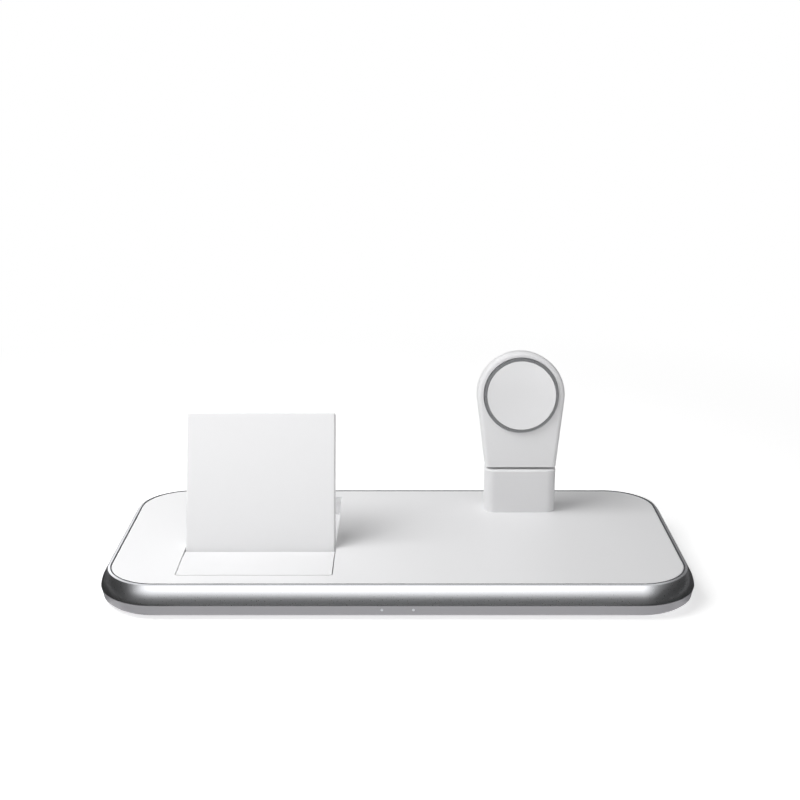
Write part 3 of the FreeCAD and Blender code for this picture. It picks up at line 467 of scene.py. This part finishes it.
@dataclass(frozen=True)
class Socket:
    """One socket in the back of the base: its opening and the contacts on its tongue."""

    name: str
    x: float
    width: float
    height: float
    corner: float
    tongue_left: float
    tongue_right: float
    tongue_root: float
    tongue_tip: float
    contact_level: float
    contact_width: float
    contact_count: int
    contact_setback: float = 1.0
    contact_thickness: float = 0.06
    contact_edge: float = 0.02
    edge_segments: int = 2
    gap: float = 0.25
    level: float = 6.2
    face: float = 46.9
    cut_depth: float = 24.0
    cut_segments: int = 8

    def cutter(self) -> bpy.types.Object:
        """Makes the block that opens the rim for the socket.

        Returns:
            The block, in its place.
        """
        block = rounded_plate(self.width + 2 * self.gap, self.height + 2 * self.gap,
                              self.corner + self.gap, 0.0, segments=self.cut_segments)
        raise_face(self.cut_depth)
        deselect()
        block.rotation_euler = (math.radians(-90.0), 0.0, 0.0)
        block.location = Vector((self.x, self.face - self.cut_depth / 2, self.level)) * MM
        settle(block)
        close_up(block)
        return block

    def contacts(self) -> None:
        """Lays gold strips along the tongue's face."""
        length = self.tongue_tip - self.tongue_root - self.contact_setback
        middle = (self.tongue_root + self.tongue_tip) / 2
        pitch = (self.tongue_right - self.tongue_left) / self.contact_count
        deselect()
        bpy.ops.mesh.primitive_cube_add(size=1.0)
        strip = bpy.context.object
        strip.scale = Vector((self.contact_width, length, self.contact_thickness)) * MM
        settle(strip)
        bpy.ops.object.mode_set(mode="EDIT")
        bpy.ops.mesh.select_all(action="SELECT")
        bpy.ops.mesh.bevel(offset=self.contact_edge * MM, segments=self.edge_segments, clamp_overlap=True)
        bpy.ops.object.mode_set(mode="OBJECT")
        places = [Vector((self.tongue_left + pitch * (index + 0.5), middle, self.contact_level))
                  for index in range(self.contact_count)]
        strips = copies(strip, places, self.name + "_contacts")
        close_up(strips)
        hand_over(strips, GOLD, "base")


SOCKETS = (
    Socket("inlet", x=-2.75, width=8.94, height=3.26, corner=1.62, tongue_left=-6.0, tongue_right=0.5,
           tongue_root=40.1, tongue_tip=44.7, contact_level=6.56, contact_width=0.25, contact_count=12),
    Socket("output", x=11.75, width=13.1, height=5.7, corner=0.8, tongue_left=6.4, tongue_right=17.1,
           tongue_root=34.4, tongue_tip=43.4, contact_level=6.14, contact_width=1.3, contact_count=4),
)


@dataclass
class RimFrame:
    """The extruded rim round the panel, with its two socket openings, and the dark seal in the seam, whose
    colour paints the seam's shade line.
    """

    panel_width: float = 197.2
    panel_depth: float = 89.4
    panel_corner: float = 17.3
    seam: float = 0.35
    land: float = 0.85
    land_drop: float = 0.2
    overhang: float = 3.8
    swell: float = 0.45
    top: float = 11.5
    foot: float = 5.15
    arris: float = 0.2
    ledge: float = 2.0
    ledge_level: float = 9.5
    groove_inset: float = 1.3
    groove_width: float = 1.0
    groove_depth: float = 1.1
    edge_break: float = 0.06
    seal_gap: float = 0.02
    seal_proud: float = 0.15
    side_steps: int = 14
    corner_segments: int = 24
    crisp_angle: float = 25.0

    def build(self) -> None:
        """Models the rim, then the dark seal between it and the panel, whose colour paints the seam's shade.
        """
        self.rim()
        self.seal_and_seam_shade()

    def outline(self, out: float, level: float, facing_up: bool = True) -> bpy.types.Object:
        """Lays out the panel's outline, let out by some mm, at a height."""
        return rounded_plate(self.panel_width + 2 * out, self.panel_depth + 2 * out, self.panel_corner + out,
                             level, segments=self.corner_segments, facing_up=facing_up)

    def side(self) -> list[tuple[float, float]]:
        """Works out the convex side from the arris up to the land.

        Returns:
            Outward offsets and heights in mm.
        """
        low = (self.overhang, self.foot + self.arris)
        high = (self.seam + self.land, self.top - self.land_drop)
        points = []
        for step in range(self.side_steps + 1):
            share = step / self.side_steps
            # A parabola, as high as the swell at the middle of the side
            bulge = 4 * self.swell * share * (1 - share)
            out = low[0] + (high[0] - low[0]) * share + bulge
            points.append((out, low[1] + (high[1] - low[1]) * share))
        return points

    def rim(self) -> None:
        """Models the rim in two halves that meet at the arris, and opens it for the sockets."""
        upper = self.outline(self.overhang, self.foot + self.arris)
        climb(self.side() + [
            (self.seam + self.edge_break, self.top),
            (self.seam, self.top - self.edge_break),
            (self.seam, self.ledge_level),
            (-self.ledge, self.ledge_level),
            (-self.ledge, self.foot),
        ])
        bpy.ops.mesh.delete(type="FACE")
        lower = self.outline(self.overhang, self.foot + self.arris, facing_up=False)
        groove_out = self.overhang - self.groove_inset
        groove_in = groove_out - self.groove_width
        climb([
            (self.overhang, self.foot + self.arris),
            (self.overhang - self.arris, self.foot),
            (groove_out, self.foot),
            (groove_out, self.foot + self.groove_depth),
            (groove_in, self.foot + self.groove_depth),
            (groove_in, self.foot),
            (-self.ledge, self.foot),
        ], rising=-1.0)
        bpy.ops.mesh.delete(type="FACE")
        rim = join([upper, lower], "anodised_rim")
        close_up(rim)
        for socket in SOCKETS:
            cut(rim, socket.cutter())
        close_up(rim, self.crisp_angle)
        hand_over(rim, ANODISED, "base", "aluminium_frame")

    def seal_and_seam_shade(self) -> None:
        """Models the dark seal that fills the seam and stands a little above it; its dark colour paints the
        shade line of the seam.
        """
        outer = self.seam - self.seal_gap
        inner = self.seal_gap
        crown = self.top + self.seal_proud
        base = self.ledge_level + self.seal_gap
        ring = self.outline(outer, base)
        climb([
            (outer, base),
            (outer - HAIR_MM, crown - self.edge_break),
            (outer - self.edge_break, crown),
            (inner + self.edge_break, crown),
            (inner, crown - self.edge_break),
            (inner, base),
        ])
        bpy.ops.mesh.delete(type="FACE")
        pick(ring, Part.EDGES, lambda e: e.is_boundary)
        bpy.ops.mesh.bridge_edge_loops()
        ring = join([ring], "seam_seal_and_shade")
        close_up(ring)
        # The seal's dark silicone colour is painted shade: it makes the seam show as a dark shadow line from
        # every side.
        hand_over(ring, SILICONE, "base")


@dataclass(frozen=True)
class ScrewKind:
    """A pan head screw with a cross recess."""

    head_radius: float
    head_height: float
    head_edge: float
    shank_radius: float
    shank_length: float
    recess: float
    recess_width: float = 0.45
    recess_taper: tuple[float, float, float] = (0.55, 0.7, 1.0)
    edge_segments: int = 4
    facets: int = 40

    def model(self) -> bpy.types.Object:
        """Models one screw, head down, with the seat of its head at the origin.

        Returns:
            The screw.
        """
        deselect()
        bpy.ops.mesh.primitive_cylinder_add(vertices=self.facets, radius=self.head_radius * MM,
                                            depth=self.head_height * MM,
                                            location=(0.0, 0.0, -self.head_height / 2 * MM))
        screw = bpy.context.object
        settle(screw)
        bpy.ops.object.mode_set(mode="EDIT")
        low = -self.head_height * MM + LEVEL
        pick(screw, Part.EDGES, lambda e: all(v.co.z < low for v in e.verts))
        bpy.ops.mesh.bevel(offset=self.head_edge * MM, segments=self.edge_segments, profile=0.5)
        pick(screw, Part.FACES, lambda f: f.normal.z > FACING)
        bpy.ops.mesh.inset(thickness=(self.head_radius - self.shank_radius) * MM)
        raise_face(self.shank_length)
        bpy.ops.object.mode_set(mode="OBJECT")
        for turn in (0.0, 90.0):
            cut(screw, self.slot(turn))
        close_up(screw)
        return screw

    def slot(self, turn: float) -> bpy.types.Object:
        """Makes the tapered block that cuts one bar of the cross.

        Args:
            turn: the bar's direction in degrees.

        Returns:
            The block, in its place.
        """
        deselect()
        bpy.ops.mesh.primitive_cube_add(size=1.0, location=(0.0, 0.0, -self.head_height * MM),
                                        rotation=(0.0, 0.0, math.radians(turn)))
        block = bpy.context.object
        block.scale = Vector((2 * self.recess, self.recess_width * self.recess, self.head_height)) * MM
        settle(block)
        bpy.ops.object.mode_set(mode="EDIT")
        pick(block, Part.FACES, lambda f: f.normal.z > FACING)
        bpy.ops.transform.resize(value=self.recess_taper)
        bpy.ops.object.mode_set(mode="OBJECT")
        return block


CASE_SCREW = ScrewKind(head_radius=2.4, head_height=1.2, head_edge=0.35, shank_radius=1.1, shank_length=7.15,
                       recess=1.25)
BRACKET_SCREW = replace(CASE_SCREW, shank_length=2.5)
COVER_SCREW = ScrewKind(head_radius=1.5, head_height=0.8, head_edge=0.22, shank_radius=0.8, shank_length=2.9,
                        recess=0.8)


@dataclass
class Underside:
    """Case screws, the arm's bracket screws and the rubber feet, all seen from below."""

    seat: float = 2.3
    case_x: tuple[float, ...] = (-86.85, -15.2, 86.85)
    case_y: float = 34.0
    bracket_x: tuple[float, ...] = (37.5, 55.5)
    bracket_y: float = 27.0
    foot_x: float = 60.6
    foot_y: float = 38.0
    foot_length: float = 36.0
    foot_width: float = 7.0
    foot_corner: float = 3.4
    foot_height: float = 1.6
    foot_round: float = 0.5
    foot_steps: int = 5

    def build(self) -> None:
        """Models each fastening once and copies it to its places."""
        places = [Vector((x, y, self.seat)) for x in self.case_x for y in (-self.case_y, self.case_y)]
        screws = copies(CASE_SCREW.model(), places, "cross_head_case_screws")
        hand_over(screws, NICKEL, "base", "case_screws")
        places = [Vector((x, self.bracket_y, self.seat)) for x in self.bracket_x]
        screws = copies(BRACKET_SCREW.model(), places, "cross_head_bracket_screws")
        hand_over(screws, NICKEL, "base", "bracket_screws")
        self.feet()

    def foot_outline(self, facing_up: bool) -> bpy.types.Object:
        """Lays out one foot's outline at its top."""
        return rounded_plate(self.foot_length, self.foot_width, self.foot_corner, self.foot_height,
                             facing_up=facing_up)

    def feet(self) -> None:
        """Models one foot with a rounded sole edge, and copies it."""
        body = self.foot_outline(False)
        sections = [(0.0, self.foot_height), (-HAIR_MM, self.foot_round)]
        for step in range(1, self.foot_steps + 1):
            angle = math.radians(90.0 * step / self.foot_steps)
            sections.append((self.foot_round * (math.cos(angle) - 1.0) - HAIR_MM * (step + 1),
                             self.foot_round * (1.0 - math.sin(angle))))
        climb(sections, rising=-1.0)
        foot = join([body, self.foot_outline(True)], "soft_feet")
        close_up(foot)
        places = [Vector((x, y, 0.0)) for x in (-self.foot_x, self.foot_x)
                  for y in (-self.foot_y, self.foot_y)]
        hand_over(copies(foot, places, "soft_feet"), SILICONE, "base", "rubber_feet")


@dataclass
class StatusLights:
    """Two clear pins with domed ends in the front band."""

    x: float = 5.25
    front: float = -47.98
    back: float = -36.3
    level: float = 3.6
    radius: float = 0.5
    dome: float = 0.14
    dome_inset: float = 0.35
    dome_rises: tuple[float, ...] = (0.7, 0.3)
    facets: int = 32
    crisp_angle: float = 40.0

    def build(self) -> None:
        """Models one pin, domes its front end, and copies it."""
        deselect()
        bpy.ops.mesh.primitive_cylinder_add(vertices=self.facets, radius=self.radius * MM,
                                            depth=(self.back - self.front) * MM,
                                            rotation=(math.radians(90.0), 0.0, 0.0))
        pin = bpy.context.object
        settle(pin)
        bpy.ops.object.mode_set(mode="EDIT")
        pick(pin, Part.FACES, lambda f: f.normal.y < -FACING)
        for rise in self.dome_rises:
            bpy.ops.mesh.inset(thickness=self.dome_inset * self.radius * MM)
            bpy.ops.transform.translate(value=(0.0, -rise * self.dome * MM, 0.0))
        bpy.ops.object.mode_set(mode="OBJECT")
        middle = (self.front + self.back) / 2
        pins = copies(pin, [Vector((x, middle, self.level)) for x in (-self.x, self.x)], "status_light_pins")
        close_up(pins, self.crisp_angle)
        hand_over(pins, ACRYLIC, "base", "status_light_pipes")


@dataclass
class FlipStand:
    """The back-rest's cover screws, which are the only loose fittings seen on it."""

    hinge: tuple[float, float, float] = (-48.75, -13.2, 8.5)
    raised: float = 70.0
    across: float = 20.6
    along: tuple[float, float] = (8.8, 44.85)
    seat: float = -2.1

    def build(self) -> None:
        """Sets the screws in the lying cover, then turns them up with it."""
        places = [Vector((x, y, self.seat)) for x in (-self.across, self.across) for y in self.along]
        screws = copies(COVER_SCREW.model(), places, "cross_head_cover_screws")
        screws.rotation_euler = (math.radians(self.raised), 0.0, 0.0)
        screws.location = Vector(self.hinge) * MM
        settle(screws)
        hand_over(screws, NICKEL, "stand", "cover_screws")


class Axis(Enum):
    """A component of a place or direction in the studio."""

    X = "X"
    Y = "Y"
    Z = "Z"
    ACROSS = "distance from the middle plane"


def split_axes(tree: bpy.types.NodeTree, vector: bpy.types.NodeSocket) -> dict[Axis, bpy.types.NodeSocket]:
    """Splits a place or direction into its components.

    Args:
        tree: the node tree.
        vector: the place's or direction's socket.

    Returns:
        A socket for each axis.
    """
    parts = add_node(tree, "ShaderNodeSeparateXYZ", inputs={0: vector})
    across = add_node(tree, "ShaderNodeMath", {"operation": "ABSOLUTE"}, {0: parts.outputs["X"]})
    axes = {axis: parts.outputs[axis.value] for axis in (Axis.X, Axis.Y, Axis.Z)}
    axes[Axis.ACROSS] = across.outputs[0]
    return axes


@dataclass(frozen=True)
class Zone:
    """A soft-edged zone of the studio, each bound an axis, where it begins and where it is full."""

    strength: float
    bounds: tuple[tuple[Axis, float, float], ...]

    def level(self, tree: bpy.types.NodeTree, axes: dict[Axis, bpy.types.NodeSocket]) -> bpy.types.NodeSocket:
        """Adds the zone to a node tree.

        Args:
            tree: the node tree.
            axes: the components that it is bounded by.

        Returns:
            A socket that is 0 outside the zone and its strength inside.
        """
        total = self.strength
        for axis, begins, full in self.bounds:
            step = add_node(tree, "ShaderNodeMapRange", {"interpolation_type": "SMOOTHSTEP"}, {
                "Value": axes[axis], "From Min": begins, "From Max": full})
            total = add_node(tree, "ShaderNodeMath", {"operation": "MULTIPLY"}, {
                0: step.outputs["Result"], 1: total}).outputs[0]
        return total


TENT_ZONES = (
    # A large softbox ahead, brighter upwards, and a dim card below it: the rim's white upper half
    Zone(2.9, ((Axis.Y, -0.35, -0.7), (Axis.X, 0.75, 0.15), (Axis.Z, 0.2, 0.85))),
    Zone(0.12, ((Axis.Y, -0.35, -0.7), (Axis.X, 0.75, 0.15))),
    # A softbox behind on the left: the bright land there
    Zone(2.0, ((Axis.X, 0.05, -0.15), (Axis.Y, 0.5, 0.85), (Axis.Z, 0.12, 0.3))),
    # A low dim band behind: the grey land on the right
    Zone(0.32, ((Axis.Y, 0.3, 0.7), (Axis.Z, 0.05, 0.2), (Axis.Z, 0.6, 0.35))),
    # Softboxes overhead and high on both sides: the rim from the sides and from above
    Zone(1.3, ((Axis.Z, 0.6, 0.85),)),
    Zone(0.6, ((Axis.ACROSS, 0.3, 0.6), (Axis.Z, 0.48, 0.72))),
)
# Light from under the object, between dark sides
UNDER_ZONE = Zone(1.0, ((Axis.Z, 0.05, -0.1), (Axis.ACROSS, 0.75, 0.1)))
# The paler edge of the card on the floor, close to the object's front
CARD_EDGE_ZONE = Zone(1.0, ((Axis.Y, -0.1, -0.045), (Axis.ACROSS, 0.09, 0.07)))


def looked_at(tree: bpy.types.NodeTree) -> bpy.types.NodeSocket:
    """Adds a test for rays that look at a surface, straight or by way of gloss and glass.

    Args:
        tree: the node tree.

    Returns:
        A socket that is 1 for such a ray and 0 for one that only fills.
    """
    rays = add_node(tree, "ShaderNodeLightPath")
    total = rays.outputs["Is Camera Ray"]
    for name in ("Is Glossy Ray", "Is Transmission Ray"):
        total = add_node(tree, "ShaderNodeMath", {"operation": "MAXIMUM"}, {
            0: total, 1: rays.outputs[name]}).outputs[0]
    return total


def light_for_gloss(obj: bpy.types.Object, made: bpy.types.Material, level: bpy.types.NodeSocket) -> None:
    """Lights a studio card, and hides it from all but the rays that gloss and metal reflect.

    Args:
        obj: the card.
        made: its material.
        level: the socket that says how bright it is.
    """
    glow = add_node(made.node_tree, "ShaderNodeEmission", inputs={"Strength": level})
    add_node(made.node_tree, "ShaderNodeOutputMaterial", inputs={"Surface": glow.outputs[0]})
    obj.data.materials.append(made)
    obj.visible_camera = False
    obj.visible_diffuse = False
    obj.visible_transmission = False
    obj.visible_shadow = False


@dataclass
class Studio:
    """Floor, world, light tent, floor card, key lamp and camera, in metres."""

    floor_half: float = 8.0
    floor_drop: float = 0.0001
    floor_colour: str = "#EDEDED"
    floor_lift: float = 0.5
    white_from: float = 0.14
    white_to: float = 0.4
    fill: float = 0.2
    front_fill: float = 0.5
    under_fill: float = 2.0
    fill_from: float = 0.6
    fill_to: float = -0.8
    tent_radius: float = 2.5
    tent_segments: int = 48
    tent_level: float = 0.035
    card_half: float = 0.54
    card_cells: int = 96
    card_level: float = 0.03
    card_edge: float = 0.4
    gap_half: float = 0.102
    gap_front: float = -0.045
    key_place: tuple[float, float, float] = (-0.28, -0.06, 0.42)
    key_aim: tuple[float, float, float] = (-0.05, -0.01, 0.0)
    key_size: float = 0.32
    key_power: float = 1.8
    camera_place: tuple[float, float, float] = (0.0008, -0.4418, 0.1906)
    camera_tilt: float = 73.8
    lens: float = 58.32
    sensor: float = 36.0

    def build(self) -> None:
        """Sets up everything that isn't the object."""
        self.floor()
        self.world()
        self.tent()
        self.floor_card()
        self.key_lamp()
        self.camera()

    def floor(self) -> None:
        """A plain pale floor, clear from below, that keeps the soft shadow and fades to white."""
        deselect()
        bpy.ops.mesh.primitive_plane_add(size=2 * self.floor_half, location=(0.0, 0.0, -self.floor_drop))
        floor = bpy.context.object
        floor.name = "floor"
        made = bare_material("matt paper floor")
        tree = made.node_tree
        paper = add_node(tree, "ShaderNodeBsdfDiffuse", inputs={"Color": linear(self.floor_colour)})
        lift = add_node(tree, "ShaderNodeEmission", inputs={"Strength": self.floor_lift})
        lit = add_node(tree, "ShaderNodeAddShader", inputs={0: paper.outputs[0], 1: lift.outputs[0]})
        white = add_node(tree, "ShaderNodeEmission", inputs={"Strength": 1.0})
        place = add_node(tree, "ShaderNodeTexCoord")
        far = add_node(tree, "ShaderNodeVectorMath", {"operation": "LENGTH"}, {0: place.outputs["Object"]})
        fade = add_node(tree, "ShaderNodeMapRange", {"interpolation_type": "SMOOTHSTEP"}, {
            "Value": far.outputs["Value"], "From Min": self.white_from, "From Max": self.white_to})
        seen = add_node(tree, "ShaderNodeMixShader", inputs={
            0: fade.outputs["Result"], 1: lit.outputs[0], 2: white.outputs[0]})
        mix = add_node(tree, "ShaderNodeMixShader", inputs={
            0: looked_at(tree), 1: paper.outputs[0], 2: seen.outputs[0]})
        side = add_node(tree, "ShaderNodeNewGeometry")
        clear = add_node(tree, "ShaderNodeBsdfTransparent")
        sided = add_node(tree, "ShaderNodeMixShader", inputs={
            0: side.outputs["Backfacing"], 1: mix.outputs[0], 2: clear.outputs[0]})
        add_node(tree, "ShaderNodeOutputMaterial", inputs={"Surface": sided.outputs[0]})
        floor.data.materials.append(made)
        floor.visible_diffuse = False

    def world(self) -> None:
        """White where it is looked at, and elsewhere a low fill, stronger from the front and below."""
        world = bpy.data.worlds.new("studio")
        bpy.context.scene.world = world
        world.use_nodes = True
        tree = world.node_tree
        tree.nodes.clear()
        place = add_node(tree, "ShaderNodeTexCoord")
        axes = split_axes(tree, place.outputs["Generated"])
        ahead = add_node(tree, "ShaderNodeMapRange", {"interpolation_type": "SMOOTHSTEP"}, {
            "Value": axes[Axis.Y], "From Min": self.fill_from, "From Max": self.fill_to})
        around = add_node(tree, "ShaderNodeMapRange", inputs={
            "Value": ahead.outputs["Result"], "To Min": self.fill, "To Max": self.front_fill})
        under = UNDER_ZONE.level(tree, axes)
        level = add_node(tree, "ShaderNodeMapRange", inputs={
            "Value": under, "To Min": around.outputs["Result"], "To Max": self.under_fill})
        fill = add_node(tree, "ShaderNodeBackground", inputs={
            "Color": WHITE, "Strength": level.outputs["Result"]})
        white = add_node(tree, "ShaderNodeBackground", inputs={"Color": WHITE, "Strength": 1.0})
        mix = add_node(tree, "ShaderNodeMixShader", inputs={
            0: looked_at(tree), 1: fill.outputs[0], 2: white.outputs[0]})
        add_node(tree, "ShaderNodeOutputWorld", inputs={"Surface": mix.outputs[0]})

    def tent(self) -> None:
        """A half dome of flags and softboxes that only gloss and metal see."""
        deselect()
        bpy.ops.mesh.primitive_uv_sphere_add(segments=self.tent_segments, ring_count=self.tent_segments // 2,
                                             radius=self.tent_radius)
        tent = bpy.context.object
        tent.name = "light_tent"
        bpy.ops.object.mode_set(mode="EDIT")
        pick(tent, Part.FACES, lambda f: f.calc_center_median().z < 0.0)
        bpy.ops.mesh.delete(type="FACE")
        bpy.ops.object.mode_set(mode="OBJECT")
        made = bare_material("light tent, flags and softboxes")
        tree = made.node_tree
        place = add_node(tree, "ShaderNodeTexCoord")
        way = add_node(tree, "ShaderNodeVectorMath", {"operation": "NORMALIZE"}, {0: place.outputs["Object"]})
        axes = split_axes(tree, way.outputs[0])
        level = self.tent_level
        for zone in TENT_ZONES:
            level = add_node(tree, "ShaderNodeMath", {"operation": "MAXIMUM"}, {
                0: zone.level(tree, axes), 1: level}).outputs[0]
        light_for_gloss(tent, made, level)

    def floor_card(self) -> None:
        """A dark card on the floor, open under and behind the object, that only gloss and metal see."""
        deselect()
        bpy.ops.mesh.primitive_grid_add(x_subdivisions=self.card_cells, y_subdivisions=self.card_cells,
                                        size=2 * self.card_half)
        card = bpy.context.object
        card.name = "floor_flag"
        bpy.ops.object.mode_set(mode="EDIT")
        pick(card, Part.FACES, lambda f: abs(f.calc_center_median().x) < self.gap_half
             and f.calc_center_median().y > self.gap_front)
        bpy.ops.mesh.delete(type="FACE")
        bpy.ops.object.mode_set(mode="OBJECT")
        made = bare_material("black flag card")
        tree = made.node_tree
        place = add_node(tree, "ShaderNodeTexCoord")
        near = CARD_EDGE_ZONE.level(tree, split_axes(tree, place.outputs["Object"]))
        level = add_node(tree, "ShaderNodeMapRange", inputs={
            "Value": near, "To Min": self.card_level, "To Max": self.card_edge})
        light_for_gloss(card, made, level.outputs["Result"])

    def key_lamp(self) -> None:
        """A near lamp at the left and above, so that the panel falls off to the right."""
        deselect()
        bpy.ops.object.light_add(type="AREA", location=self.key_place)
        lamp = bpy.context.object
        lamp.name = "key"
        lamp.data.size = self.key_size
        lamp.data.energy = self.key_power
        lamp.visible_glossy = False
        aim = Vector(self.key_aim) - Vector(self.key_place)
        lamp.rotation_euler = aim.to_track_quat("-Z", "Y").to_euler()

    def camera(self) -> None:
        """The photograph's viewpoint: a long lens, a little above, square on to the front."""
        deselect()
        bpy.ops.object.camera_add(location=self.camera_place,
                                  rotation=(math.radians(self.camera_tilt), 0.0, 0.0))
        camera = bpy.context.object
        camera.data.lens = self.lens
        camera.data.sensor_width = self.sensor
        bpy.context.scene.camera = camera


def main() -> None:
    """Dresses the CAD nodes, builds the object's pieces in order, then the studio."""
    logging.basicConfig(level=logging.INFO)
    for finish, nodes in CAD_FINISHES.items():
        for node in nodes:
            finish.dress(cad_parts[node])
            LOG.info("%s: %s", node, finish.name)
    RimFrame().build()
    for socket in SOCKETS:
        socket.contacts()
    Underside().build()
    StatusLights().build()
    FlipStand().build()
    Studio().build()
    deselect()
    bpy.context.scene.view_settings.view_transform = "Standard"


if __name__ == "__main__":
    main()
